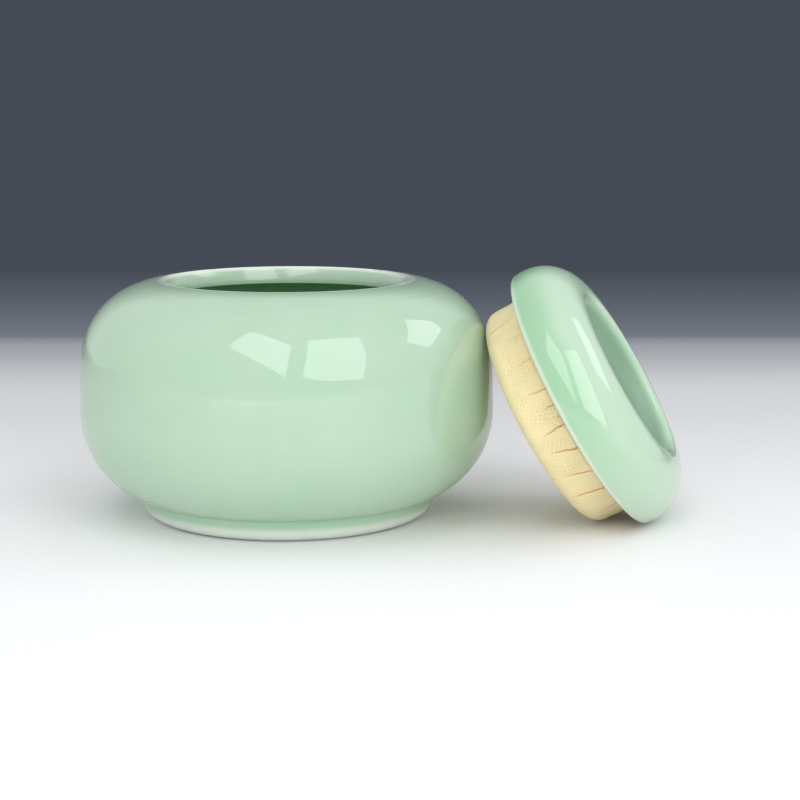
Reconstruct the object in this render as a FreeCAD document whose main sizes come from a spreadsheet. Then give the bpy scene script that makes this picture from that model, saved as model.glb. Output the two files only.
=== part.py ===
"""Lidded celadon jar with a lift-off dished lid that carries a cloth-covered stopper.

FreeCAD 1.1 macro, millimetres and degrees. Z is up, the origin is the centre of the jar's foot
on the surface it stands on. The lid is drawn in its own frame, with its seat at z = 0 and the
stopper below it, and then leaned against the jar by its Placement.
"""
import FreeCAD, Part
import math
import os
import Sketcher

V = FreeCAD.Vector

doc = FreeCAD.newDocument("celadon_jar")

# ---------------------------------------------------------------- driving dimensions
SIZES = [
    ("belly_radius", 60.0, "widest radius of the jar"),
    ("belly_height", 30.7, "height of the widest ring"),
    ("side_radius", 190.0, "profile radius of the nearly straight side"),
    ("side_top_height", 47.7, "height where the side turns into the shoulder"),
    ("shoulder_radius", 22.4, "profile radius of the shoulder"),
    ("crown_radius", 28.0, "profile radius between shoulder and lip"),
    ("jar_height", 68.6, "height of the lip's crest"),
    ("lip_radius", 1.2, "rounding of the lip"),
    ("mouth_radius", 34.2, "radius of the mouth's bore"),
    ("jar_wall", 4.4, "wall thickness of the jar"),
    ("lower_radius", 26.0, "profile radius below the widest ring"),
    ("inner_lower_radius", 23.8, "profile radius of the hollow below the widest ring"),
    ("floor_height", 7.4, "height of the jar's inside floor"),
    ("floor_corner", 9.0, "profile radius between inside floor and wall"),
    ("foot_radius", 37.0, "outside radius of the foot ring's flat face"),
    ("foot_round", 6.0, "rounding of the foot ring's outside"),
    ("foot_inside_radius", 33.4, "inside radius of the foot ring"),
    ("foot_cove", 0.9, "hollow rounding where the foot meets the belly"),
    ("foot_recess", 3.0, "depth of the recess inside the foot ring"),
    ("foot_edge", 0.4, "rounding of the foot ring's inside edge"),
    ("bore_edge", 0.3, "rounding of the mouth's lower edge"),
    ("mouth_flare", 6.0, "rounding of the mouth's upper edge, up to the lip"),
    ("bore_top", 64.6, "height at which the mouth starts to widen"),
    ("cap_radius", 40.4, "outside radius of the lid"),
    ("cap_edge", 1.2, "rounding of the lid's lower edge"),
    ("cap_round", 13.4, "profile radius of the lid's outside"),
    ("cap_round_height", 3.0, "height of the lid's widest ring over the seat"),
    ("crest_round", 4.5, "profile radius from the crest into the dish"),
    ("dish_height", 11.0, "height of the dish's floor over the seat"),
    ("dish_floor_radius", 14.0, "radius of the dish's flat floor"),
    ("dish_round", 10.0, "profile radius at the edge of the dish's floor"),
    ("seat_inside_radius", 33.4, "inside radius of the lid's seat"),
    ("seat_edge", 0.6, "rounding of the seat's inside edge"),
    ("hollow_round", 7.0, "profile radius of the hollow under the crest"),
    ("hollow_height", 3.6, "height of the hollow's centre over the seat"),
    ("cap_ceiling", 6.5, "height of the lid's underside behind the dish"),
    ("ceiling_radius", 13.0, "radius of the flat underside behind the dish"),
    ("glue_radius", 11.5, "radius of the adhesive disc"),
    ("glue_thickness", 1.0, "thickness of the adhesive disc"),
    ("core_radius", 29.4, "radius of the stopper's core"),
    ("core_edge", 0.8, "chamfer of the core's top edge"),
    ("stopper_radius", 33.8, "outside radius of the covered stopper"),
    ("stopper_depth", 13.2, "how far the covered stopper hangs below the seat"),
    ("stopper_round", 4.0, "rounding of the covered stopper's lower edge"),
    ("cloth_thickness", 0.8, "thickness of the cloth"),
    ("cloth_top", 0.4, "gap between the cloth's shoulder and the seat"),
    ("neck_height", 3.4, "height of the cloth's gathered neck over the seat"),
    ("thread_radius", 0.5, "radius of the gathering thread"),
    ("thread_height", 1.6, "height of the gathering thread over the seat"),
    ("lean_angle", 30.0, "angle of the lid's axis above the floor"),
    ("lean_turn", 11.5, "turn of the leaning lid towards the front"),
    ("lean_x", 84.6, "place of the leaning lid's seat centre along X"),
    ("lean_y", -7.9, "place of the leaning lid's seat centre along Y"),
]

sheet = doc.addObject("Spreadsheet::Sheet", "sizes")
for row, (alias, number, meaning) in enumerate(SIZES, start=1):
    sheet.set("A%d" % row, meaning)
    sheet.set("B%d" % row, str(number))
    sheet.setAlias("B%d" % row, alias)
doc.recompute()


def size(alias):
    """Value of one cell of the sheet, in millimetres or degrees."""
    return float(sheet.get(alias))


# ---------------------------------------------------------------- drawing helpers
START, END, CENTRE = 1, 2, 3


def origin_feature(body, role):
    """A plane or axis of the body's own origin."""
    return next(f for f in body.Origin.OriginFeatures if f.Role == role)


def new_body(name):
    """An empty body whose label is the node's name."""
    body = doc.addObject("PartDesign::Body", name)
    body.Label = name
    return body


def new_sketch(body, name):
    """A sketch on the body's XZ plane: its x is the radius and its y is the height."""
    sketch = body.newObject("Sketcher::SketchObject", name)
    sketch.AttachmentSupport = (origin_feature(body, "XZ_Plane"), [""])
    sketch.MapMode = "FlatFace"
    return sketch


def line(sketch, x1, y1, x2, y2):
    """A line between two rough places, which the constraints settle."""
    return sketch.addGeometry(Part.LineSegment(V(x1, y1, 0), V(x2, y2, 0)), False)


def arc(sketch, x, y, radius, from_angle, to_angle):
    """A counter-clockwise arc near its final place, with angles in degrees."""
    circle = Part.Circle(V(x, y, 0), V(0, 0, 1), radius)
    limits = (math.radians(from_angle), math.radians(to_angle))
    return sketch.addGeometry(Part.ArcOfCircle(circle, *limits), False)


def meet(sketch, first, first_end, second, second_end):
    """Joins two edges at a corner."""
    ends = (first, first_end, second, second_end)
    sketch.addConstraint(Sketcher.Constraint("Coincident", *ends))


def blend(sketch, first, first_end, second, second_end):
    """Joins two edges without a corner."""
    ends = (first, first_end, second, second_end)
    sketch.addConstraint(Sketcher.Constraint("Tangent", *ends))


def level(sketch, *edges):
    """Makes lines horizontal."""
    for edge in edges:
        sketch.addConstraint(Sketcher.Constraint("Horizontal", edge))


def upright(sketch, *edges):
    """Makes lines vertical."""
    for edge in edges:
        sketch.addConstraint(Sketcher.Constraint("Vertical", edge))


def bind(sketch, kind, place, formula):
    """Adds a dimension to the sketch and ties it to a formula of the sheet's cells."""
    guess = doc.sizes.evalExpression(formula)
    index = sketch.addConstraint(Sketcher.Constraint(kind, *place, float(guess)))
    sketch.setExpression("Constraints[%d]" % index, formula)


def at_radius(sketch, edge, end, formula):
    """Distance of a point from the axis."""
    bind(sketch, "DistanceX", (-1, 1, edge, end), formula)


def at_height(sketch, edge, end, formula):
    """Height of a point over the sketch's origin."""
    bind(sketch, "DistanceY", (-1, 1, edge, end), formula)


def rounded(sketch, edge, formula):
    """Radius of an arc."""
    bind(sketch, "Radius", (edge,), formula)


def on_axis(sketch, edge, end):
    """Puts a point on the axis of revolution."""
    sketch.addConstraint(Sketcher.Constraint("PointOnObject", edge, end, -2))


def same_centre(sketch, first, second):
    """Gives two arcs one centre."""
    sketch.addConstraint(Sketcher.Constraint("Coincident", first, CENTRE, second, CENTRE))


def beside(sketch, arc_edge, other_edge, other_end):
    """Puts an arc's centre level with a point, so that the arc is upright there."""
    places = (arc_edge, CENTRE, other_edge, other_end)
    sketch.addConstraint(Sketcher.Constraint("Horizontal", *places))


def above(sketch, arc_edge, other_edge, other_end):
    """Puts an arc's centre straight over or under a point, so that the arc is level there."""
    places = (arc_edge, CENTRE, other_edge, other_end)
    sketch.addConstraint(Sketcher.Constraint("Vertical", *places))


def turn(body, sketch, name):
    """Turns a closed outline a full circle about the body's Z axis."""
    solid = body.newObject("PartDesign::Revolution", name)
    solid.Profile = sketch
    solid.ReferenceAxis = (sketch, ["V_Axis"])
    solid.Angle = 360.0
    sketch.Visibility = False
    return solid


def circle_edge(shape, radius, place):
    """Name of the circular edge with this radius that is first in order of place.

    The place is +1 for the lowest edge and -1 for the highest one.
    """
    found = []
    for number, edge in enumerate(shape.Edges, start=1):
        curve = edge.Curve
        if isinstance(curve, Part.Circle) and abs(curve.Radius - radius) < 0.001:
            found.append((place * curve.Center.z, "Edge%d" % number))
    return min(found)[1]


def dress(body, kind, name, formula, picks):
    """Adds a fillet or chamfer of one size to the circular edges that the picks name."""
    base = body.Tip
    doc.recompute()
    feature = body.newObject("PartDesign::" + kind, name)
    feature.Base = (base, [circle_edge(base.Shape, *pick) for pick in picks])
    feature.setExpression("Size" if kind == "Chamfer" else "Radius", formula)
    body.Tip = feature
    return feature


LOWEST, HIGHEST = 1, -1


def ring_outline(sketch, inside, outside, low, high):
    """A rectangle between two radii and two heights, each a formula."""
    bottom = line(sketch, 10, 0, 20, 0)
    outer = line(sketch, 20, 0, 20, 10)
    top = line(sketch, 20, 10, 10, 10)
    inner = line(sketch, 10, 10, 10, 0)
    loop = (bottom, outer, top, inner)
    for edge, following in zip(loop, loop[1:] + loop[:1]):
        meet(sketch, edge, END, following, START)
    level(sketch, bottom, top)
    upright(sketch, outer, inner)
    if inside is None:
        on_axis(sketch, inner, START)
    else:
        at_radius(sketch, inner, START, inside)
    at_radius(sketch, outer, START, outside)
    at_height(sketch, bottom, START, low)
    at_height(sketch, top, START, high)
    return sketch


# ---------------------------------------------------------------- the jar
def jar_body():
    """One-piece porcelain jar: foot ring, belly, shoulder, rounded lip, bore and hollow."""
    body = new_body("jar_body")
    sk = new_sketch(body, "jar_outline")

    recess = line(sk, 0, 3, 33.4, 3)
    foot_inner = line(sk, 33.4, 3, 33.4, 0)
    foot_face = line(sk, 33.4, 0, 37, 0)
    foot_side = arc(sk, 37, 6, 6, -90, -3)
    cove = arc(sk, 43.9, 5.7, 0.9, 112, 177)
    lower = arc(sk, 34, 30.7, 26, -68, 0)
    side = arc(sk, -130, 30.7, 190, 0, 5)
    shoulder = arc(sk, 37, 45.7, 22.4, 5, 63)
    crown = arc(sk, 34.6, 40.7, 28, 63, 86)
    lip = arc(sk, 36.3, 67.4, 1.2, 86, 144)
    flare = arc(sk, 40.2, 64.6, 6, 144, 180)
    bore = line(sk, 34.2, 64.6, 34.2, 63.5)
    inner_shoulder = arc(sk, 37, 45.7, 18, 5, 99)
    inner_side = arc(sk, -130, 30.7, 185.6, 0, 5)
    inner_lower = arc(sk, 31.8, 30.7, 23.8, -75, 0)
    corner = arc(sk, 35.6, 16.4, 9, -90, -75)
    floor = line(sk, 35.6, 7.4, 0, 7.4)
    axis = line(sk, 0, 7.4, 0, 3)

    meet(sk, recess, END, foot_inner, START)
    meet(sk, foot_inner, END, foot_face, START)
    blend(sk, foot_face, END, foot_side, START)
    blend(sk, foot_side, END, cove, END)
    blend(sk, cove, START, lower, START)
    blend(sk, lower, END, side, START)
    blend(sk, side, END, shoulder, START)
    blend(sk, shoulder, END, crown, START)
    blend(sk, crown, END, lip, START)
    blend(sk, lip, END, flare, START)
    blend(sk, flare, END, bore, START)
    meet(sk, bore, END, inner_shoulder, END)
    blend(sk, inner_shoulder, START, inner_side, END)
    blend(sk, inner_side, START, inner_lower, END)
    blend(sk, inner_lower, START, corner, END)
    blend(sk, corner, START, floor, START)
    meet(sk, floor, END, axis, START)
    meet(sk, axis, END, recess, START)

    level(sk, recess, foot_face, floor)
    upright(sk, foot_inner, bore, axis)
    on_axis(sk, axis, END)
    same_centre(sk, inner_shoulder, shoulder)
    same_centre(sk, inner_side, side)
    beside(sk, side, side, START)

    at_height(sk, recess, END, "sizes.foot_recess")
    at_height(sk, floor, START, "sizes.floor_height")
    at_radius(sk, foot_face, START, "sizes.foot_inside_radius")
    at_radius(sk, foot_face, END, "sizes.foot_radius")
    sk.addConstraint(Sketcher.Constraint("PointOnObject", foot_face, END, -1))
    rounded(sk, foot_side, "sizes.foot_round")
    rounded(sk, cove, "sizes.foot_cove")
    rounded(sk, lower, "sizes.lower_radius")
    rounded(sk, inner_lower, "sizes.inner_lower_radius")
    at_height(sk, inner_lower, CENTRE, "sizes.belly_height")
    at_radius(sk, side, START, "sizes.belly_radius")
    at_height(sk, side, START, "sizes.belly_height")
    rounded(sk, side, "sizes.side_radius")
    at_height(sk, side, END, "sizes.side_top_height")
    rounded(sk, shoulder, "sizes.shoulder_radius")
    rounded(sk, crown, "sizes.crown_radius")
    rounded(sk, lip, "sizes.lip_radius")
    at_radius(sk, bore, START, "sizes.mouth_radius")
    at_height(sk, lip, CENTRE, "sizes.jar_height - sizes.lip_radius")
    rounded(sk, flare, "sizes.mouth_flare")
    at_height(sk, flare, CENTRE, "sizes.bore_top")
    rounded(sk, inner_shoulder, "sizes.shoulder_radius - sizes.jar_wall")
    rounded(sk, corner, "sizes.floor_corner")
    turn(body, sk, "jar_turned")
    foot = [(size("foot_inside_radius"), LOWEST)]
    dress(body, "Fillet", "foot_rounded", "sizes.foot_edge", foot)
    mouth = [(size("mouth_radius"), LOWEST)]
    dress(body, "Fillet", "mouth_rounded", "sizes.bore_edge", mouth)
    return body


# ---------------------------------------------------------------- the lid's parts
def lid_cap():
    """One-piece porcelain lid: rounded ring, dished top, flat seat and hollow underside."""
    body = new_body("lid_cap")
    sk = new_sketch(body, "lid_outline")

    dish_floor = line(sk, 0, 11, 14, 11)
    dish_bend = arc(sk, 14, 21, 10, -90, -59)
    dish_wall = line(sk, 19.2, 12.4, 24.7, 15.8)
    crest = arc(sk, 27, 11.9, 4.5, 90, 121)
    outside = arc(sk, 27, 3, 13.4, -10, 90)
    edge = arc(sk, 39.2, 1.2, 1.2, -90, -10)
    seat = line(sk, 39.2, 0, 33.4, 0)
    rim = line(sk, 33.4, 0, 33.4, 3.6)
    hollow = arc(sk, 26.4, 3.6, 7, 0, 108)
    slope = line(sk, 24.2, 10.2, 13, 6.5)
    ceiling = line(sk, 13, 6.5, 0, 6.5)
    axis = line(sk, 0, 6.5, 0, 11)

    blend(sk, dish_floor, END, dish_bend, START)
    blend(sk, dish_bend, END, dish_wall, START)
    blend(sk, dish_wall, END, crest, END)
    blend(sk, crest, START, outside, END)
    blend(sk, outside, START, edge, END)
    blend(sk, edge, START, seat, START)
    meet(sk, seat, END, rim, START)
    blend(sk, rim, END, hollow, START)
    blend(sk, hollow, END, slope, START)
    meet(sk, slope, END, ceiling, START)
    meet(sk, ceiling, END, axis, START)
    meet(sk, axis, END, dish_floor, START)

    level(sk, dish_floor, seat, ceiling)
    upright(sk, rim, axis)
    on_axis(sk, axis, START)
    above(sk, outside, outside, END)

    at_height(sk, dish_floor, END, "sizes.dish_height")
    at_radius(sk, dish_floor, END, "sizes.dish_floor_radius")
    rounded(sk, dish_bend, "sizes.dish_round")
    rounded(sk, crest, "sizes.crest_round")
    rounded(sk, outside, "sizes.cap_round")
    at_radius(sk, outside, CENTRE, "sizes.cap_radius - sizes.cap_round")
    at_height(sk, outside, CENTRE, "sizes.cap_round_height")
    rounded(sk, edge, "sizes.cap_edge")
    sk.addConstraint(Sketcher.Constraint("PointOnObject", seat, END, -1))
    at_radius(sk, seat, END, "sizes.seat_inside_radius")
    rounded(sk, hollow, "sizes.hollow_round")
    at_height(sk, hollow, CENTRE, "sizes.hollow_height")
    at_height(sk, ceiling, START, "sizes.cap_ceiling")
    at_radius(sk, ceiling, START, "sizes.ceiling_radius")
    turn(body, sk, "lid_turned")
    seat_inside = [(size("seat_inside_radius"), LOWEST)]
    dress(body, "Fillet", "seat_rounded", "sizes.seat_edge", seat_inside)
    return body


CORE_TOP = "sizes.cap_ceiling - sizes.glue_thickness"
CORE_BOTTOM = "sizes.stopper_round - sizes.stopper_depth"


def adhesive_disc():
    """Disc of adhesive between the lid's underside and the stopper's core."""
    body = new_body("adhesive_disc")
    sk = new_sketch(body, "adhesive_outline")
    ring_outline(sk, None, "sizes.glue_radius", CORE_TOP, "sizes.cap_ceiling")
    turn(body, sk, "adhesive_turned")
    return body


def stopper_core():
    """Cork core of the stopper, chamfered where it goes up into the lid."""
    body = new_body("stopper_core")
    sk = new_sketch(body, "core_outline")
    ring_outline(sk, None, "sizes.core_radius", CORE_BOTTOM, CORE_TOP)
    turn(body, sk, "core_turned")
    top = [(size("core_radius"), HIGHEST)]
    dress(body, "Chamfer", "core_chamfer", "sizes.core_edge", top)
    return body


def foam_band():
    """Foam sleeve round the core, which makes the stopper fill the mouth."""
    body = new_body("foam_band")
    sk = new_sketch(body, "band_outline")
    outside = "sizes.stopper_radius - sizes.cloth_thickness"
    top = "-sizes.cloth_top - sizes.cloth_thickness"
    ring_outline(sk, "sizes.core_radius", outside, CORE_BOTTOM, top)
    turn(body, sk, "band_turned")
    return body


def foam_pad():
    """Foam disc under the core and the sleeve, rounded at its lower edge."""
    body = new_body("foam_pad")
    sk = new_sketch(body, "pad_outline")
    floor = line(sk, 0, -12.4, 29.8, -12.4)
    bend = arc(sk, 29.8, -9.2, 3.2, -90, 0)
    top = line(sk, 33, -9.2, 0, -9.2)
    axis = line(sk, 0, -9.2, 0, -12.4)
    blend(sk, floor, END, bend, START)
    meet(sk, bend, END, top, START)
    meet(sk, top, END, axis, START)
    meet(sk, axis, END, floor, START)
    level(sk, floor, top)
    upright(sk, axis)
    on_axis(sk, axis, START)
    beside(sk, bend, bend, END)
    rounded(sk, bend, "sizes.stopper_round - sizes.cloth_thickness")
    at_radius(sk, bend, CENTRE, "sizes.stopper_radius - sizes.stopper_round")
    at_height(sk, top, START, CORE_BOTTOM)
    turn(body, sk, "pad_turned")
    return body


def stopper_cloth():
    """Cloth cup over the foam, turned in over the sleeve and gathered to a neck on the core."""
    body = new_body("stopper_cloth")
    sk = new_sketch(body, "cloth_outline")

    floor = line(sk, 0, -13.2, 29.8, -13.2)
    bend = arc(sk, 29.8, -9.2, 4, -90, 0)
    side = line(sk, 33.8, -9.2, 33.8, -0.4)
    shoulder = line(sk, 33.8, -0.4, 30.2, -0.4)
    neck = line(sk, 30.2, -0.4, 30.2, 3.4)
    neck_top = line(sk, 30.2, 3.4, 29.4, 3.4)
    core_side = line(sk, 29.4, 3.4, 29.4, -1.2)
    under_shoulder = line(sk, 29.4, -1.2, 33, -1.2)
    inner_side = line(sk, 33, -1.2, 33, -9.2)
    inner_bend = arc(sk, 29.8, -9.2, 3.2, -90, 0)
    inner_floor = line(sk, 29.8, -12.4, 0, -12.4)
    axis = line(sk, 0, -12.4, 0, -13.2)

    blend(sk, floor, END, bend, START)
    blend(sk, bend, END, side, START)
    meet(sk, side, END, shoulder, START)
    meet(sk, shoulder, END, neck, START)
    meet(sk, neck, END, neck_top, START)
    meet(sk, neck_top, END, core_side, START)
    meet(sk, core_side, END, under_shoulder, START)
    meet(sk, under_shoulder, END, inner_side, START)
    blend(sk, inner_side, END, inner_bend, END)
    blend(sk, inner_bend, START, inner_floor, START)
    meet(sk, inner_floor, END, axis, START)
    meet(sk, axis, END, floor, START)

    level(sk, floor, shoulder, neck_top, under_shoulder, inner_floor)
    upright(sk, side, neck, core_side, inner_side, axis)
    on_axis(sk, axis, END)
    same_centre(sk, inner_bend, bend)

    at_height(sk, floor, END, "-sizes.stopper_depth")
    rounded(sk, bend, "sizes.stopper_round")
    at_radius(sk, side, START, "sizes.stopper_radius")
    at_height(sk, side, END, "-sizes.cloth_top")
    at_radius(sk, neck, START, "sizes.core_radius + sizes.cloth_thickness")
    at_height(sk, neck, END, "sizes.neck_height")
    at_radius(sk, core_side, START, "sizes.core_radius")
    at_height(sk, core_side, END, "-sizes.cloth_top - sizes.cloth_thickness")
    rounded(sk, inner_bend, "sizes.stopper_round - sizes.cloth_thickness")
    turn(body, sk, "cloth_turned")
    return body


def gather_thread():
    """Thread tied round the cloth's neck, which holds the gathers."""
    ring = doc.addObject("Part::Torus", "gather_thread")
    ring.Label = "gather_thread"
    ring.setExpression("Radius2", "sizes.thread_radius")
    ring.setExpression("Radius1", "sizes.core_radius + sizes.cloth_thickness + sizes.thread_radius")
    return ring


# ---------------------------------------------------------------- where the lid leans
def leaning_place():
    """Placement of the lid's own frame when the lid leans on the jar.

    The lid's axis rises from the floor by lean_angle and is turned to the front by lean_turn.
    The seat's centre is as high as puts the rounding of the lid's lower edge on the floor.
    """
    rise = math.radians(size("lean_angle"))
    edge_height = size("cap_edge")
    between_centres = size("cap_round") - edge_height
    drop = size("cap_round_height") - edge_height
    edge_radius = size("cap_radius") - size("cap_round")
    edge_radius += math.sqrt(between_centres**2 - drop**2)
    height = edge_radius * math.cos(rise) + edge_height * (1 - math.sin(rise))
    tilt = FreeCAD.Rotation(V(0, 1, 0), 90 - size("lean_angle"))
    swing = FreeCAD.Rotation(V(0, 0, 1), -size("lean_turn"))
    seat = V(size("lean_x"), size("lean_y"), height)
    return FreeCAD.Placement(seat, swing.multiply(tilt))


# ---------------------------------------------------------------- the assembly
jar = jar_body()
lid_parts = [
    lid_cap(),
    adhesive_disc(),
    stopper_core(),
    foam_band(),
    foam_pad(),
    stopper_cloth(),
]
thread = gather_thread()

jar.Placement = FreeCAD.Placement()
lean = leaning_place()
for piece in lid_parts:
    piece.Placement = lean
thread_place = FreeCAD.Placement(V(0, 0, size("thread_height")), FreeCAD.Rotation())
thread.Placement = lean.multiply(thread_place)

doc.recompute()

for thing in doc.Objects:
    if "Invalid" in thing.State or "Error" in thing.State:
        raise RuntimeError("%s did not recompute: %s" % (thing.Name, thing.State))

os.makedirs("parts", exist_ok=True)
for piece in [jar] + lid_parts + [thread]:
    if piece.Shape.isNull() or not piece.Shape.isValid():
        raise RuntimeError("%s has no valid shape" % piece.Label)
    piece.Shape.exportStep("parts/%s.step" % piece.Label)
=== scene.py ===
"""Looks of a low celadon jar whose dished lid, with its cloth-covered stopper, leans on it.

Metres throughout. The jar and the lid keep their CAD shapes and get a glaze. The stopper's cloth,
foam and thread are modelled here in the lid's own frame: z = 0 is the lid's seat, the stopper
hangs below it, and lid_to_row brings a point of that frame to the row's frame.
"""

import math

import bpy
import numpy as np
from mathutils import Matrix, Vector


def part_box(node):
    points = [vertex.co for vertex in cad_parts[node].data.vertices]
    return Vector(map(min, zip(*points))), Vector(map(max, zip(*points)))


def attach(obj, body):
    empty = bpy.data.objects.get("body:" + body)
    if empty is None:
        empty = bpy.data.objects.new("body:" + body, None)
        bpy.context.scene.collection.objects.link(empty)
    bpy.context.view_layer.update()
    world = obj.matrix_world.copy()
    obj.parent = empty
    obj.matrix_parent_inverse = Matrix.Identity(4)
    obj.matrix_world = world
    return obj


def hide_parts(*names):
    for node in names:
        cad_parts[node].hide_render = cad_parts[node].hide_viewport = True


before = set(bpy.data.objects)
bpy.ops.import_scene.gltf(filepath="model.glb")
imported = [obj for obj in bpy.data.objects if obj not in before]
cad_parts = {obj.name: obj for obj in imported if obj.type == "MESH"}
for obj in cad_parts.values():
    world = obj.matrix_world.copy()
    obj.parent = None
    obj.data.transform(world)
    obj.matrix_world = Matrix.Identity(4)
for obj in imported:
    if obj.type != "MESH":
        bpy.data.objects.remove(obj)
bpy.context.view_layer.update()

MM = 0.001
TAU = 2 * math.pi

# ---------------------------------------------------------------- places, from the frame
LEAN_ANGLE = math.radians(30)
LEAN_TURN = math.radians(11.5)
GLUE_MIDDLE = 6.0 * MM  # height of the adhesive's middle over the seat

lean = Matrix.Rotation(-LEAN_TURN, 3, "Z") @ Matrix.Rotation(math.pi / 2 - LEAN_ANGLE, 3, "Y")
glue_low, glue_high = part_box("adhesive_disc")
seat_centre = (glue_low + glue_high) / 2 - lean @ Vector((0, 0, GLUE_MIDDLE))
lid_to_row = Matrix.Translation(seat_centre) @ lean.to_4x4()
JAR_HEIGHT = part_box("jar_body")[1].z


def colour(red, green, blue):
    """A colour as it looks on a screen, 0 to 255, made linear for the shader."""
    def linear(level):
        share = level / 255
        return share / 12.92 if share < 0.04045 else ((share + 0.055) / 1.055) ** 2.4
    return (linear(red), linear(green), linear(blue), 1.0)


# ---------------------------------------------------------------- a node material, by short calls
class Nodes:
    """A node material under construction: every call adds one node and returns its output."""

    def __init__(self, name):
        self.material = bpy.data.materials.new(name)
        self.material.use_nodes = True
        self.tree = self.material.node_tree
        self.tree.nodes.clear()
        self.output = self.tree.nodes.new("ShaderNodeOutputMaterial")

    def set(self, socket, value):
        """Links a node's output to the socket, or gives it a plain value."""
        if isinstance(value, bpy.types.NodeSocket):
            self.tree.links.new(value, socket)
        else:
            socket.default_value = value

    def make(self, kind, output, inputs, **settings):
        """A node of this kind, with its inputs and settings."""
        node = self.tree.nodes.new("ShaderNode" + kind)
        for name, value in settings.items():
            setattr(node, name, value)
        for key, value in inputs.items():
            self.set(node.inputs[key], value)
        return node.outputs[output]

    def principled(self, **values):
        """The surface's shader; _ in a name stands for a blank."""
        shader = self.tree.nodes.new("ShaderNodeBsdfPrincipled")
        for name, value in values.items():
            self.set(shader.inputs[name.replace("_", " ")], value)
        self.set(self.output.inputs["Surface"], shader.outputs[0])

    def in_row(self):
        """The point in the row's frame."""
        return self.make("TexCoord", "Object", {})

    def in_lid(self):
        """The point in the lid's own frame."""
        place = {
            "Vector": self.in_row(),
            "Location": lid_to_row.to_translation(),
            "Rotation": lid_to_row.to_euler(),
        }
        return self.make("Mapping", "Vector", place, vector_type="TEXTURE")

    def part(self, vector, axis):
        """One part of a vector: X, Y or Z."""
        return self.make("SeparateXYZ", axis, {0: vector})

    def math(self, operation, first, second=0.0):
        """Two numbers worked together."""
        return self.make("Math", 0, {0: first, 1: second}, operation=operation)

    def radius(self, point):
        """The point's distance from the Z axis."""
        across = self.math("POWER", self.part(point, "X"), 2.0)
        along = self.math("POWER", self.part(point, "Y"), 2.0)
        return self.math("SQRT", self.math("ADD", across, along))

    def ramp(self, value, low, high, start=0.0, end=1.0):
        """A smooth step from start to end as value goes from low to high."""
        inputs = {0: value, 1: low, 2: high, 3: start, 4: end}
        return self.make("MapRange", 0, inputs, interpolation_type="SMOOTHSTEP")

    def bell(self, value, middle, width):
        """1 at the middle, falling to 0 at width to either side."""
        away = self.math("ABSOLUTE", self.math("SUBTRACT", value, middle))
        return self.ramp(away, 0.0, width, 1.0, 0.0)

    def noise(self, point, size, detail=2.0):
        """Noise with features about size across."""
        inputs = {"Vector": point, "Scale": 1 / size, "Detail": detail}
        return self.make("TexNoise", 0, inputs)

    def cells(self, point, size, output="Distance", feature="F1"):
        """Voronoi cells about size across."""
        inputs = {"Vector": point, "Scale": 1 / size}
        return self.make("TexVoronoi", output, inputs, feature=feature)

    def mix(self, share, first, second):
        """A colour between first and second."""
        inputs = {"Factor": share, 6: first, 7: second}
        return self.make("Mix", 2, inputs, data_type="RGBA")

    def bump(self, height, depth, strength=1.0):
        """Relief of this depth."""
        return self.make("Bump", 0, {"Height": height, "Distance": depth, "Strength": strength})


# ---------------------------------------------------------------- celadon
GLAZE_JAR = colour(171, 198, 173)
GLAZE_LID = colour(152, 195, 156)
GLAZE_THIN_AND_PAINTED_LIGHT = colour(222, 229, 219)
GLAZE_POOLED = colour(138, 190, 144)
INSIDE_PAINTED_SHADE = colour(92, 172, 98)
DISH_PAINTED_SHADE = colour(102, 142, 109)
BARE_CLAY = colour(226, 224, 214)
SPECK = colour(120, 128, 98)
GLOSS = 0.03
GLAZE_IOR = 1.8


def celadon(nodes, point, base, painted_shade_tone, painted_shade, thin_and_painted_light, bare, roughness):
    """Glaze of a base tone: a darker tone where painted shade is 1, a pale tone for thinner glaze and
    for painted light at the jar's foot, none where bare is.
    """
    cloudy = nodes.noise(point, 16 * MM)
    tone = nodes.mix(nodes.ramp(cloudy, 0.35, 0.7, 0.0, 0.14), base, GLAZE_POOLED)
    # Painted shade: a darker tone, inside the jar and in the lid's dish.
    tone = nodes.mix(painted_shade, tone, painted_shade_tone)
    # Pale tone: glaze thinned at the edges, and painted light at the jar's foot.
    tone = nodes.mix(thin_and_painted_light, tone, GLAZE_THIN_AND_PAINTED_LIGHT)
    specks = nodes.ramp(nodes.cells(point, 6 * MM), 0.015, 0.035, 0.55, 0.0)
    tone = nodes.mix(specks, tone, SPECK)
    tone = nodes.mix(bare, tone, BARE_CLAY)
    relief = nodes.bump(nodes.noise(point, 26 * MM, 1.0), 0.06 * MM)
    nodes.principled(
        Base_Color=tone,
        Roughness=nodes.math("MAXIMUM", roughness, nodes.ramp(bare, 0.0, 1.0, 0.0, 0.6)),
        IOR=GLAZE_IOR,
        Subsurface_Weight=0.2,
        Subsurface_Radius=(0.8, 1.3, 0.9),
        Subsurface_Scale=1.0 * MM,
        Normal=relief,
    )
    return nodes.material


STEP_HEIGHT = 6.4 * MM  # the step between foot and belly, where the glaze pools
STEP_SPREAD = 2.6 * MM
STEP_SHARE = 0.35


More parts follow.
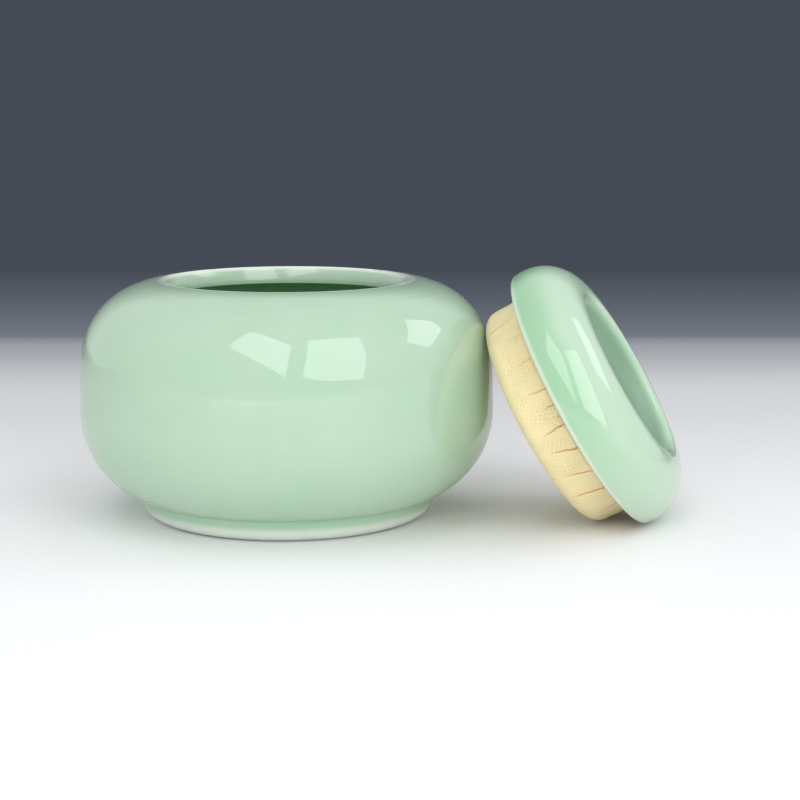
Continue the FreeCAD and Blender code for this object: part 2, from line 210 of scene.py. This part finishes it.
def jar_glaze():
    """The jar's glaze: pale on the lip, pale at the foot from thinner glaze and painted light, pooled
    in the step, and a darker, more saturated green inside from painted shade.
    """
    nodes = Nodes("celadon_jar")
    point = nodes.in_row()
    height = nodes.part(point, "Z")
    radius = nodes.radius(point)
    lip = nodes.ramp(height, JAR_HEIGHT - 1.3 * MM, JAR_HEIGHT - 0.2 * MM)
    crest = nodes.math("MULTIPLY", lip, nodes.ramp(radius, 36.6 * MM, 37.6 * MM, 0.9, 0.0))
    outside_belly = nodes.ramp(radius, 41 * MM, 42.5 * MM)
    step = nodes.math("MULTIPLY", nodes.bell(height, STEP_HEIGHT, STEP_SPREAD), outside_belly)
    # The foot is pale from thinner glaze and from painted light lifting the shade under the belly.
    outside_foot = nodes.ramp(radius, 36 * MM, 37 * MM)
    foot = nodes.math("MULTIPLY", nodes.ramp(height, 2.5 * MM, 5.0 * MM, 1.0, 0.0), outside_foot)
    thin_and_painted_light = nodes.math("MAXIMUM", crest, foot)
    # Painted shade inside the jar: walls facing the middle, below the neck, take a darker green.
    normal = nodes.make("NewGeometry", "Normal", {})
    middle_down = (0, 0, -JAR_HEIGHT / 2)
    from_middle = nodes.make("Mapping", "Vector", {"Vector": point, "Location": middle_down})
    facing = nodes.make("VectorMath", "Value", {0: normal, 1: from_middle}, operation="DOT_PRODUCT")
    inside = nodes.ramp(facing, -6 * MM, 2 * MM, 0.9, 0.0)
    painted_shade = nodes.math("MULTIPLY", inside, nodes.ramp(height, 50 * MM, 63 * MM, 1.0, 0.0))
    base = nodes.mix(nodes.math("MULTIPLY", step, STEP_SHARE), GLAZE_JAR, GLAZE_POOLED)
    bare = nodes.ramp(height, 0.1 * MM, 0.3 * MM, 1.0, 0.0)
    return celadon(nodes, point, base, INSIDE_PAINTED_SHADE, painted_shade, thin_and_painted_light, bare, GLOSS)


def lid_glaze():
    """The lid's glaze: pale round its edge, over its crest and on one side, darker in the dish from
    painted shade.
    """
    nodes = Nodes("celadon_lid")
    point = nodes.in_lid()
    height = nodes.part(point, "Z")
    radius = nodes.radius(point)
    low = nodes.ramp(height, 0.2 * MM, 2.0 * MM, 0.9, 0.0)
    edge = nodes.math("MULTIPLY", low, nodes.ramp(radius, 37 * MM, 39 * MM))
    uneven = nodes.noise(point, 20 * MM, 1.0)
    wander = nodes.math("ADD", height, nodes.ramp(uneven, 0.3, 0.7, -0.9 * MM, 0.9 * MM))
    pale_side = nodes.ramp(nodes.part(point, "X"), -15 * MM, 42 * MM, 0.0, 0.45)
    crest = nodes.math("MAXIMUM", nodes.ramp(wander, 4.5 * MM, 12.5 * MM, 0.0, 0.35), pale_side)
    crest = nodes.math("MULTIPLY", crest, nodes.ramp(radius, 22.5 * MM, 26 * MM))
    thin_and_painted_light = nodes.math("MAXIMUM", edge, crest)
    # Painted shade in the dish's hollow: a darker grey-green.
    dish = nodes.ramp(radius, 21 * MM, 25.5 * MM, 0.9, 0.0)
    bare = nodes.ramp(height, 0.02 * MM, 0.2 * MM, 1.0, 0.0)
    roughness = nodes.ramp(radius, 23 * MM, 25.5 * MM, 0.4, GLOSS)
    return celadon(nodes, point, GLAZE_LID, DISH_PAINTED_SHADE, dish, thin_and_painted_light, bare, roughness)


# ---------------------------------------------------------------- the stopper's soft materials
CLOTH_PALE = colour(236, 221, 173)
CLOTH_DIMPLE_SHADE_AND_PATCHES = colour(226, 205, 152)
CLOTH_CREASE_SHADE = colour(212, 156, 70)
WEAVE_PITCH = 0.95  # millimetres from one row of dimples to the next, as in the cloth's own map
WEAVE_STRETCH = 1.6  # a dimple's pitch along its row against the rows' pitch
WEAVE_TURN = math.radians(24)


def cloth_material():
    """An open woven cloth: staggered rows of small long dimples between ribbed threads."""
    nodes = Nodes("yellow_cloth")
    flat = nodes.make("UVMap", "UV", {}, uv_map="flat")
    turned = nodes.make("Mapping", "Vector", {"Vector": flat, "Rotation": (0, 0, WEAVE_TURN)})
    along = nodes.math("DIVIDE", nodes.part(turned, "X"), WEAVE_PITCH * WEAVE_STRETCH)
    drift = nodes.ramp(nodes.noise(nodes.in_lid(), 4 * MM), 0.3, 0.7, -0.35, 0.35)
    rows = nodes.math("ADD", nodes.math("DIVIDE", nodes.part(turned, "Y"), WEAVE_PITCH), drift)
    row = nodes.math("FLOOR", rows)
    shifted = nodes.math("ADD", along, nodes.math("MULTIPLY", row, 0.5))
    across = nodes.math("SUBTRACT", nodes.math("FRACT", shifted), 0.5)
    upward = nodes.math("SUBTRACT", nodes.math("FRACT", rows), 0.5)
    wide = nodes.math("POWER", nodes.math("DIVIDE", across, 0.42), 2.0)
    tall = nodes.math("POWER", nodes.math("DIVIDE", upward, 0.34), 2.0)
    dimple = nodes.ramp(nodes.math("ADD", wide, tall), 0.1, 1.2, 1.0, 0.0)
    pressed = nodes.ramp(nodes.noise(nodes.in_lid(), 5 * MM), 0.38, 0.62, 0.2, 0.9)
    dimple = nodes.math("MULTIPLY", dimple, pressed)
    rib = nodes.make("Math", 0, {0: nodes.math("MULTIPLY", shifted, 4 * TAU)}, operation="SINE")
    fuzz = nodes.noise(nodes.in_lid(), 0.5 * MM)
    patchy = nodes.noise(nodes.in_lid(), 7 * MM)
    # Painted shade in the fold grooves, kept on the mesh.
    crease_shade = nodes.make("Attribute", "Fac", {}, attribute_name="crease_shade")
    # Painted shade darkens the dimples; the same tone in random patches is the cloth's own.
    shaded = nodes.math("MULTIPLY", dimple, nodes.ramp(fuzz, 0.3, 0.7, 0.55, 1.0))
    tone = nodes.mix(shaded, CLOTH_PALE, CLOTH_DIMPLE_SHADE_AND_PATCHES)
    tone = nodes.mix(nodes.ramp(patchy, 0.4, 0.75, 0.0, 0.25), tone, CLOTH_DIMPLE_SHADE_AND_PATCHES)
    tone = nodes.mix(crease_shade, tone, CLOTH_CREASE_SHADE)
    relief = nodes.math("ADD", nodes.math("MULTIPLY", rib, 0.08), nodes.math("SUBTRACT", fuzz, dimple))
    nodes.principled(
        Base_Color=tone,
        Roughness=0.85,
        Sheen_Weight=0.25,
        Sheen_Roughness=0.5,
        Specular_IOR_Level=0.2,
        Subsurface_Weight=0.15,
        Subsurface_Radius=(1.0, 0.8, 0.4),
        Subsurface_Scale=0.6 * MM,
        Normal=nodes.bump(relief, 0.12 * MM),
    )
    return nodes.material


def foam_material():
    """Open-celled foam, cream with darker cells."""
    nodes = Nodes("foam")
    point = nodes.in_lid()
    cell = nodes.cells(point, 0.8 * MM)
    tone = nodes.mix(nodes.ramp(cell, 0.1, 0.55), colour(200, 188, 146), colour(240, 232, 204))
    nodes.principled(Base_Color=tone, Roughness=0.9, Normal=nodes.bump(cell, 0.3 * MM))
    return nodes.material


def cork_material():
    """Pressed cork: tan granules of several shades with dark flecks between them."""
    nodes = Nodes("cork")
    point = nodes.in_lid()
    granule = nodes.cells(point, 1.6 * MM, "Color")
    shade = nodes.ramp(nodes.part(granule, "X"), 0.0, 1.0)
    tone = nodes.mix(shade, colour(176, 128, 82), colour(214, 172, 122))
    gap = nodes.cells(point, 1.6 * MM, "Distance", "DISTANCE_TO_EDGE")
    tone = nodes.mix(nodes.ramp(gap, 0.0, 0.09, 0.7, 0.0), tone, colour(84, 54, 34))
    grain = nodes.noise(point, 0.4 * MM, 4.0)
    nodes.principled(Base_Color=tone, Roughness=0.8, Normal=nodes.bump(grain, 0.15 * MM))
    return nodes.material


def adhesive_material():
    """Set glue: cloudy, slightly yellow and glossy."""
    nodes = Nodes("adhesive")
    cloudy = nodes.noise(nodes.in_lid(), 3 * MM, 3.0)
    tone = nodes.mix(nodes.ramp(cloudy, 0.35, 0.65), colour(226, 214, 170), colour(240, 234, 208))
    nodes.principled(Base_Color=tone, Roughness=0.3, Normal=nodes.bump(cloudy, 0.2 * MM))
    return nodes.material


def thread_material():
    """Cream sewing thread with fine fibres."""
    nodes = Nodes("thread")
    fibre = nodes.noise(nodes.in_lid(), 0.12 * MM, 2.0)
    tone = nodes.mix(nodes.ramp(fibre, 0.3, 0.7), colour(214, 196, 140), colour(244, 234, 196))
    nodes.principled(
        Base_Color=tone,
        Roughness=0.7,
        Sheen_Weight=0.3,
        Normal=nodes.bump(fibre, 0.05 * MM),
    )
    return nodes.material


# ---------------------------------------------------------------- meshes in the lid's frame
def grid_mesh(name, rows, closed_up=False):
    """A smooth mesh over rows of points, each row closed round the lid's axis."""
    height, width = len(rows), len(rows[0])
    points = [lid_to_row @ Vector(point) for row in rows for point in row]
    faces = []
    for up in range(height if closed_up else height - 1):
        for turn in range(width):
            beside = (turn + 1) % width
            here, over = up * width, (up + 1) % height * width
            faces.append((here + turn, here + beside, over + beside, over + turn))
    mesh = bpy.data.meshes.new(name)
    mesh.from_pydata(points, [], faces)
    mesh.polygons.foreach_set("use_smooth", [True] * len(faces))
    piece = bpy.data.objects.new(name, mesh)
    bpy.context.scene.collection.objects.link(piece)
    return piece


def finish_piece(piece, material, slot, *nodes):
    """Gives a piece its material and puts it in place of these CAD nodes; slot is not used."""
    piece.data.materials.append(material)
    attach(piece, "lid")
    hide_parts(*nodes)


def around(radius, height, angle):
    """A point at this radius, height and angle about the lid's axis."""
    return (radius * math.cos(angle), radius * math.sin(angle), height)


# ---------------------------------------------------------------- the cloth
STOPPER_RADIUS = 33.8 * MM
STOPPER_BOTTOM = -13.2 * MM
BOTTOM_ROUND = 4.0 * MM
SHOULDER_ROUND = 1.4 * MM
SHOULDER_HEIGHT = -0.5 * MM
NECK_RADIUS = 30.2 * MM
NECK_TOP = 3.3 * MM
CLOTH_THICKNESS = 0.7 * MM
FLOOR_GAP = 0.02 * MM

# The folds in sight: the angle about the lid's axis and the slant down the side, in degrees, then
# the share of full depth and how far down the side the fold runs, 1 being to the bottom edge.
SEEN_FOLDS = (
    (-154, 3, 1.5, 1.2),
    (-139, -2, 0.5, 0.5),
    (-124, 1, 0.6, 0.5),
    (-107, -2, 0.9, 0.55),
    (-98.5, -1, 1.0, 0.4),
    (-88.5, 1, 1.0, 0.7),
    (-75.5, -4, 1.0, 0.75),
    (-61.5, -4, 0.6, 0.9),
    (-48.5, -3, 0.8, 1.0),
    (-31, 2, 0.7, 0.7),
    (-14, -3, 0.9, 0.8),
)
HIDDEN_FOLDS = 15


def folds():
    """Every fold round the cloth: the seen ones, then even ones with some scatter."""
    scatter = np.random.default_rng(7)
    found = [(math.radians(a), math.radians(s), depth, reach) for a, s, depth, reach in SEEN_FOLDS]
    first, last = math.radians(2), math.radians(190)
    for place in np.linspace(first, last, HIDDEN_FOLDS):
        found.append((
            place + scatter.uniform(-0.06, 0.06),
            scatter.uniform(-0.07, 0.07),
            scatter.uniform(0.5, 1.0),
            scatter.uniform(0.5, 1.0),
        ))
    return found


def cloth_profile():
    """Points (radius, height, outward direction, distance from the middle) from the middle out."""
    found = []

    def add(radius, height, out_radius, out_height):
        gone = 0.0
        if found:
            gone = found[-1][4] + math.dist((radius, height), found[-1][:2])
        found.append((radius, height, out_radius, out_height, gone))

    flat = STOPPER_RADIUS - BOTTOM_ROUND
    for radius in np.linspace(0.4 * MM, flat, 22)[:-1]:
        add(radius, STOPPER_BOTTOM, 0, -1)
    for turn in np.linspace(0, math.pi / 2, 14):
        out = (math.sin(turn), -math.cos(turn))
        add(flat + BOTTOM_ROUND * out[0], STOPPER_BOTTOM + BOTTOM_ROUND * (1 + out[1]), *out)
    side_top = SHOULDER_HEIGHT - SHOULDER_ROUND
    for height in np.linspace(STOPPER_BOTTOM + BOTTOM_ROUND, side_top, 20)[1:-1]:
        add(STOPPER_RADIUS, height, 1, 0)
    for turn in np.linspace(0, math.pi / 2, 7):
        out = (math.cos(turn), math.sin(turn))
        add(STOPPER_RADIUS - SHOULDER_ROUND * (1 - out[0]), side_top + SHOULDER_ROUND * out[1], *out)
    for radius in np.linspace(STOPPER_RADIUS - SHOULDER_ROUND, NECK_RADIUS, 5)[1:]:
        add(radius, SHOULDER_HEIGHT, 0.3, 1)
    for height in np.linspace(SHOULDER_HEIGHT, NECK_TOP, 8)[1:]:
        add(NECK_RADIUS, height, 1, 0)
    return found


# Across one fold, in millimetres round the cloth: where a column starts, where it ends up and how
# far it rises. The lip rises a little and leans over the thin groove beside it.
FOLD_STARTS = (-2.6, -1.6, -0.9, -0.5, -0.25, -0.08, 0.08, 0.22, 0.4, 0.7, 1.2, 2.0, 3.0)
FOLD_ENDS = (-2.6, -1.6, -0.85, -0.4, -0.1, 0.04, 0.02, -0.08, -0.02, 0.5, 1.1, 1.97, 3.0)
FOLD_RISES = (0.0, 0.02, 0.0, -0.08, -0.28, -0.45, -0.2, 0.1, 0.24, 0.27, 0.2, 0.08, 0.0)
COLUMN_STEP = 0.7 * MM / STOPPER_RADIUS


def column_angles(found):
    """Where the columns stand round the cloth: close together at every fold, even between."""
    at_folds = [angle + start * MM / STOPPER_RADIUS for angle, *_ in found for start in FOLD_STARTS]
    angles = [a % TAU for a in at_folds]
    for angle in np.arange(0, TAU, COLUMN_STEP):
        away = min(abs((angle - other[0] + math.pi) % TAU - math.pi) for other in found)
        if away * STOPPER_RADIUS > 3.3 * MM:
            angles.append(angle)
    return sorted(set(round(a, 5) for a in angles))


def ease(value, low, high):
    """A smooth step from 0 to 1 between low and high, either way round."""
    share = min(1.0, max(0.0, (value - low) / (high - low)))
    return share * share * (3 - 2 * share)


EDGE = STOPPER_RADIUS - BOTTOM_ROUND + BOTTOM_ROUND * math.pi / 2
TOP = EDGE + 7 * MM
FOLD_FADE = 4.5 * MM


def cloth_point(angle, place, found, slant):
    """Where one point of the cloth lies, and how much painted shade its fold groove gets there."""
    radius, height, out_radius, out_height, gone = place
    jag = 0.12 * MM * math.sin(gone / (0.55 * MM) + 9 * angle)
    shift, rise, crease_shade = 0.0, 0.0, 0.0
    for fold_angle, _, depth, reach in found:
        away = (angle - fold_angle + math.pi) % TAU - math.pi
        start = away * STOPPER_RADIUS / MM
        if abs(start) < 3:
            end = TOP - (TOP - EDGE + 3 * MM) * reach
            share = depth * ease(gone, end, end + FOLD_FADE)
            shift += share * (np.interp(start, FOLD_STARTS, FOLD_ENDS) - start) * MM
            shift += share * jag * math.exp(-abs(start))
            rise += share * np.interp(start, FOLD_STARTS, FOLD_RISES) * MM
            # Painted shade along the groove of each fold.
            crease_shade = max(crease_shade, share * max(0.0, 1 - abs(start + 0.1) / 0.5))
    down = min(1.4, max(0.0, (TOP - gone) / (TOP - EDGE)))
    turn = angle + shift / STOPPER_RADIUS + slant * down
    pillow = 0.1 * MM * math.sin(9 * angle + 2) * ease(gone, EDGE, TOP)
    out = (rise + pillow) * (1 - 0.4 * ease(gone, TOP - 1 * MM, TOP + 2 * MM)) - 0.05 * MM
    if gone > TOP:
        out = min(out, 0.3 * MM)
    return around(radius + out * out_radius, height + out * out_height, turn), crease_shade


def cloth():
    """The round cloth drawn over the stopper's foot and gathered under the lid."""
    found = folds()
    angles = column_angles(found)
    known = sorted((angle % TAU, slant) for angle, slant, depth, reach in found)
    slants = np.interp(angles, [k[0] for k in known], [k[1] for k in known], period=TAU)
    profile = cloth_profile()
    rows, crease_shades = [], []
    for place in profile:
        made = [cloth_point(angle, place, found, slant) for angle, slant in zip(angles, slants)]
        rows.append([point for point, crease_shade in made])
        crease_shades += [crease_shade for point, crease_shade in made]
    piece = grid_mesh("gathered_cloth", rows)
    close_middle(piece, len(angles))
    # Each point's painted shade from the fold grooves.
    attribute = piece.data.attributes.new("crease_shade", "FLOAT", "POINT")
    attribute.data.foreach_set("value", crease_shades + [0.0])
    flat_map(piece, angles, profile)
    for vertex in piece.data.vertices:
        vertex.co.z = max(vertex.co.z, FLOOR_GAP)
    solid = piece.modifiers.new("thickness", "SOLIDIFY")
    solid.thickness = CLOTH_THICKNESS
    solid.offset = -1
    finish_piece(piece, cloth_material(), "yellow_cloth", "stopper_cloth")


def close_middle(piece, width):
    """Closes the small hole in the middle of the cloth's bottom with a fan."""
    mesh = piece.data
    middle = len(mesh.vertices)
    points = [tuple(v.co) for v in mesh.vertices]
    points.append(tuple(lid_to_row @ Vector((0, 0, STOPPER_BOTTOM))))
    faces = [tuple(f.vertices) for f in mesh.polygons]
    faces += [(middle, (turn + 1) % width, turn) for turn in range(width)]
    mesh.clear_geometry()
    mesh.from_pydata(points, [], faces)
    mesh.polygons.foreach_set("use_smooth", [True] * len(faces))


def flat_map(piece, angles, profile):
    """Where each point lies on the cloth when it is spread flat, in millimetres."""
    layer = piece.data.uv_layers.new(name="flat")
    width = len(angles)
    for face in piece.data.polygons:
        for loop in face.loop_indices:
            number = piece.data.loops[loop].vertex_index
            if number < width * len(profile):
                angle, gone = angles[number % width], profile[number // width][4] / MM
                layer.data[loop].uv = (gone * math.cos(angle), gone * math.sin(angle))


# ---------------------------------------------------------------- foam and thread
CORE_RADIUS = 29.4 * MM
FOAM_RADIUS = 32.9 * MM
BAND_TOP = -1.3 * MM
BAND_CROWN = 1.0 * MM
FOAM_SPLIT = -9.2 * MM
PAD_BOTTOM = -12.35 * MM


FOAM_WAVINESS = 0.05 * MM


def turned(outline, seed, turns=160):
    """Rows of a ring or disc of foam turned from an outline of (radius, height), softly uneven."""
    scatter = np.random.default_rng(seed)
    lows = scatter.uniform(0, TAU, 4)
    rows = []
    for radius, height in outline:
        row = []
        for k in range(turns):
            angle = TAU * k / turns
            uneven = sum(math.sin((n + 3) * angle + low) for n, low in enumerate(lows)) / 4
            dent = FOAM_WAVINESS * (1 + uneven) if radius > CORE_RADIUS else 0
            row.append(around(radius - dent, height, angle))
        rows.append(row)
    return rows


def foam_band():
    """The foam wrapped round the core, its outer face crowned."""
    inside = CORE_RADIUS + 0.02 * MM
    low = FOAM_SPLIT + 0.1 * MM
    middle = (BAND_TOP + low) / 2
    half = (BAND_TOP - low) / 2
    outline = [(inside, low), (inside, BAND_TOP)]
    for turn in np.linspace(math.pi / 2, -math.pi / 2, 15):
        reach = FOAM_RADIUS - BAND_CROWN + BAND_CROWN * max(0.0, math.cos(turn)) ** 0.5
        outline.append((reach, middle + half * math.sin(turn)))
    piece = grid_mesh("foam_wrap", turned(outline, seed=3), closed_up=True)
    finish_piece(piece, foam_material(), "foam", "foam_band")


def foam_pad():
    """The round foam pad under the core, its edge rounded by the cloth."""
    outline = [(0.05 * MM, FOAM_SPLIT), (CORE_RADIUS, FOAM_SPLIT), (FOAM_RADIUS - 0.4 * MM, FOAM_SPLIT)]
    edge = FOAM_SPLIT - PAD_BOTTOM
    for turn in np.linspace(0, math.pi / 2, 10):
        reach = FOAM_RADIUS - edge + edge * math.cos(turn)
        outline.append((reach, FOAM_SPLIT - edge * math.sin(turn)))
    outline += [(15 * MM, PAD_BOTTOM), (0.05 * MM, PAD_BOTTOM + 0.05 * MM)]
    piece = grid_mesh("foam_disc", turned(outline, seed=5), closed_up=True)
    finish_piece(piece, foam_material(), "foam", "foam_pad")


THREAD_RADIUS = 30.7 * MM
THREAD_HEIGHT = 1.6 * MM
STRAND_RADIUS = 0.26 * MM
STRAND_OFFSET = 0.24 * MM  # from the thread's middle to a strand's middle
STRAND_TWISTS = 90


def strand(name, start):
    """One of the thread's two strands, wound round the other."""
    steps, sides = 900, 8
    rows = []
    for k in range(steps):
        angle = TAU * k / steps
        twist = STRAND_TWISTS * angle + start
        radius = THREAD_RADIUS + STRAND_OFFSET * math.cos(twist)
        height = THREAD_HEIGHT + STRAND_OFFSET * math.sin(twist)
        ring = []
        for side in range(sides):
            lift = TAU * side / sides
            out, up = STRAND_RADIUS * math.cos(lift), STRAND_RADIUS * math.sin(lift)
            ring.append(around(radius + out, height + up, angle))
        rows.append(ring)
    return grid_mesh(name, rows, closed_up=True)


def thread():
    """The twisted thread that holds the cloth to the core."""
    strands = [strand("thread_strand_" + letter, start) for letter, start in (("a", 0), ("b", math.pi))]
    look = thread_material()
    for piece in strands:
        finish_piece(piece, look, "thread", "gather_thread")


# ---------------------------------------------------------------- the room
FLOOR_SIZE = 6.0
BACKDROP = 0.375  # how far behind the jar's axis the pale floor ends
BACKDROP_DARK = colour(69, 74, 84)
ROOM_PALE = colour(236, 237, 240)
WINDOW_DISTANCE = 1.5
FLOOR_HEIGHT = -0.02 * MM  # a hair under the foot, so that the two faces never coincide


def floor():
    """A pale floor darkened towards the back by painted shade, glowing further out as a painted
    backdrop, grey-blue behind and pale to the sides.
    """
    mesh = bpy.data.meshes.new("floor")
    around_circle = [TAU * k / 64 for k in range(64)]
    points = [(FLOOR_SIZE * math.cos(a), FLOOR_SIZE * math.sin(a), FLOOR_HEIGHT) for a in around_circle]
    mesh.from_pydata(points, [], [tuple(range(64))])
    piece = bpy.data.objects.new("floor", mesh)
    bpy.context.scene.collection.objects.link(piece)
    nodes = Nodes("floor")
    point = nodes.in_row()
    away = nodes.radius(point)
    grain = nodes.noise(point, 3 * MM, 3.0)
    back = nodes.part(point, "Y")
    # Painted shade: the floor darkens towards the back.
    pale = nodes.mix(nodes.ramp(back, -0.1, 0.25), colour(246, 246, 246), colour(208, 208, 209))
    pale = nodes.mix(nodes.ramp(back, 0.2, BACKDROP), pale, colour(150, 151, 158))
    pale = nodes.mix(nodes.ramp(grain, 0.3, 0.7, 0.0, 0.03), pale, colour(200, 200, 200))
    near = nodes.tree.nodes.new("ShaderNodeBsdfPrincipled")
    nodes.set(near.inputs["Base Color"], pale)
    near.inputs["Roughness"].default_value = 0.7
    # Painted light: past the pale floor it glows, grey-blue and dimming behind the object, pale to the
    # sides.
    beyond = nodes.math("MAXIMUM", nodes.math("SUBTRACT", back, BACKDROP), 0.0)
    rise = nodes.math("MINIMUM", nodes.math("MULTIPLY", nodes.math("SQRT", beyond), 1.7), 1.0)
    dim = nodes.mix(rise, colour(122, 130, 141), BACKDROP_DARK)
    sideways = nodes.math("ABSOLUTE", nodes.part(point, "X"))
    aside = nodes.math("DIVIDE", sideways, nodes.math("ADD", back, 0.5))
    past_edge = nodes.ramp(back, BACKDROP - 0.04, BACKDROP - 0.03)
    behind = nodes.math("MULTIPLY", past_edge, nodes.ramp(aside, 0.3, 1.0, 1.0, 0.0))
    far = nodes.mix(behind, ROOM_PALE, dim)
    glow = nodes.make("Emission", 0, {"Color": far, "Strength": 1.0})
    at_back = nodes.ramp(back, BACKDROP - 0.03, BACKDROP + 0.015)
    leaving = nodes.math("MAXIMUM", at_back, nodes.ramp(away, 0.9, 1.6))
    inputs = {0: leaving, 1: near.outputs[0], 2: glow}
    nodes.set(nodes.output.inputs["Surface"], nodes.make("MixShader", 0, inputs))
    mesh.materials.append(nodes.material)


# Soft window panels round the object, each by its corners: degrees round from the camera's side
# towards +X, then degrees up, both seen from the jar.
WINDOWS = (
    ("window_left", 2.5, ((-37, 45), (-37, 69), (5.5, 50), (2, 8.5))),
    ("window_front", 2.5, ((20, 57), (60, 53), (51, 33), (43, 0), (11.6, 9))),
    ("window_right", 2.5, ((117, 50), (123, 38), (118, 30), (92, 23), (83, 35))),
)


def window(name, strength, corners):
    """One glowing panel square to its own middle direction, unseen by the camera."""
    middle = Vector((0, 0, JAR_HEIGHT / 2))
    ways = []
    for round_by, up_by in corners:
        a, e = math.radians(round_by), math.radians(up_by)
        ways.append(Vector((math.sin(a) * math.cos(e), -math.cos(a) * math.cos(e), math.sin(e))))
    ahead = sum(ways, Vector()).normalized()
    points = [middle + way * (WINDOW_DISTANCE / way.dot(ahead)) for way in ways]
    mesh = bpy.data.meshes.new(name)
    mesh.from_pydata(points, [], [tuple(range(len(points)))])
    piece = bpy.data.objects.new(name, mesh)
    bpy.context.scene.collection.objects.link(piece)
    nodes = Nodes(name)
    glow = nodes.make("Emission", 0, {"Color": colour(252, 253, 255), "Strength": strength})
    nodes.set(nodes.output.inputs["Surface"], glow)
    mesh.materials.append(nodes.material)
    piece.visible_camera = False


def soft_light(name, power, size, place):
    """A big soft light that looks at the object and leaves no highlight on it."""
    light = bpy.data.lights.new(name, "AREA")
    light.energy = power
    light.shape = "DISK"
    light.size = size
    piece = bpy.data.objects.new(name, light)
    piece.location = place
    way = Vector((0.03, 0, 0.03)) - Vector(place)
    piece.rotation_euler = way.to_track_quat("-Z", "Y").to_euler()
    piece.visible_glossy = False
    bpy.context.scene.collection.objects.link(piece)


def surroundings():
    """A pale even room, with the dark backdrop on the side behind the object."""
    world = bpy.data.worlds.new("room")
    world.use_nodes = True
    tree = world.node_tree
    way = tree.nodes.new("ShaderNodeTexCoord")
    parts = tree.nodes.new("ShaderNodeSeparateXYZ")
    edge = tree.nodes.new("ShaderNodeMapRange")
    blend = tree.nodes.new("ShaderNodeMix")
    edge.interpolation_type = "SMOOTHSTEP"
    blend.data_type = "RGBA"
    edge.inputs[1].default_value = 0.7
    edge.inputs[2].default_value = 0.97
    blend.inputs[6].default_value = ROOM_PALE
    blend.inputs[7].default_value = BACKDROP_DARK
    tree.links.new(way.outputs["Generated"], parts.inputs[0])
    tree.links.new(parts.outputs["Y"], edge.inputs[0])
    tree.links.new(edge.outputs[0], blend.inputs["Factor"])
    tree.links.new(blend.outputs[2], tree.nodes["Background"].inputs["Color"])
    bpy.context.scene.world = world


CAMERA_PLACE = (0.03275, -0.5438, 0.1250)
CAMERA_DIP = math.radians(9.61)
CAMERA_LENS = 84.9


def camera():
    """The camera, low and level, looking along +Y with a slight dip."""
    lens = bpy.data.cameras.new("camera")
    lens.lens = CAMERA_LENS
    lens.sensor_width = 36
    lens.clip_start = 0.01
    piece = bpy.data.objects.new("camera", lens)
    piece.location = CAMERA_PLACE
    piece.rotation_euler = (math.pi / 2 - CAMERA_DIP, 0, 0)
    bpy.context.scene.collection.objects.link(piece)
    bpy.context.scene.camera = piece


def redress(node, material):
    """Gives a CAD node that stays in sight its finished material."""
    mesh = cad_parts[node].data
    mesh.materials.clear()
    mesh.materials.append(material)


camera()
redress("jar_body", jar_glaze())
redress("lid_cap", lid_glaze())
redress("stopper_core", cork_material())
redress("adhesive_disc", adhesive_material())
cloth()
foam_band()
foam_pad()
thread()
floor()
for panel in WINDOWS:
    window(*panel)
soft_light("low", 1.6, 0.6, (-0.35, -0.9, 0.06))
surroundings()
bpy.context.scene.view_settings.view_transform = "Standard"
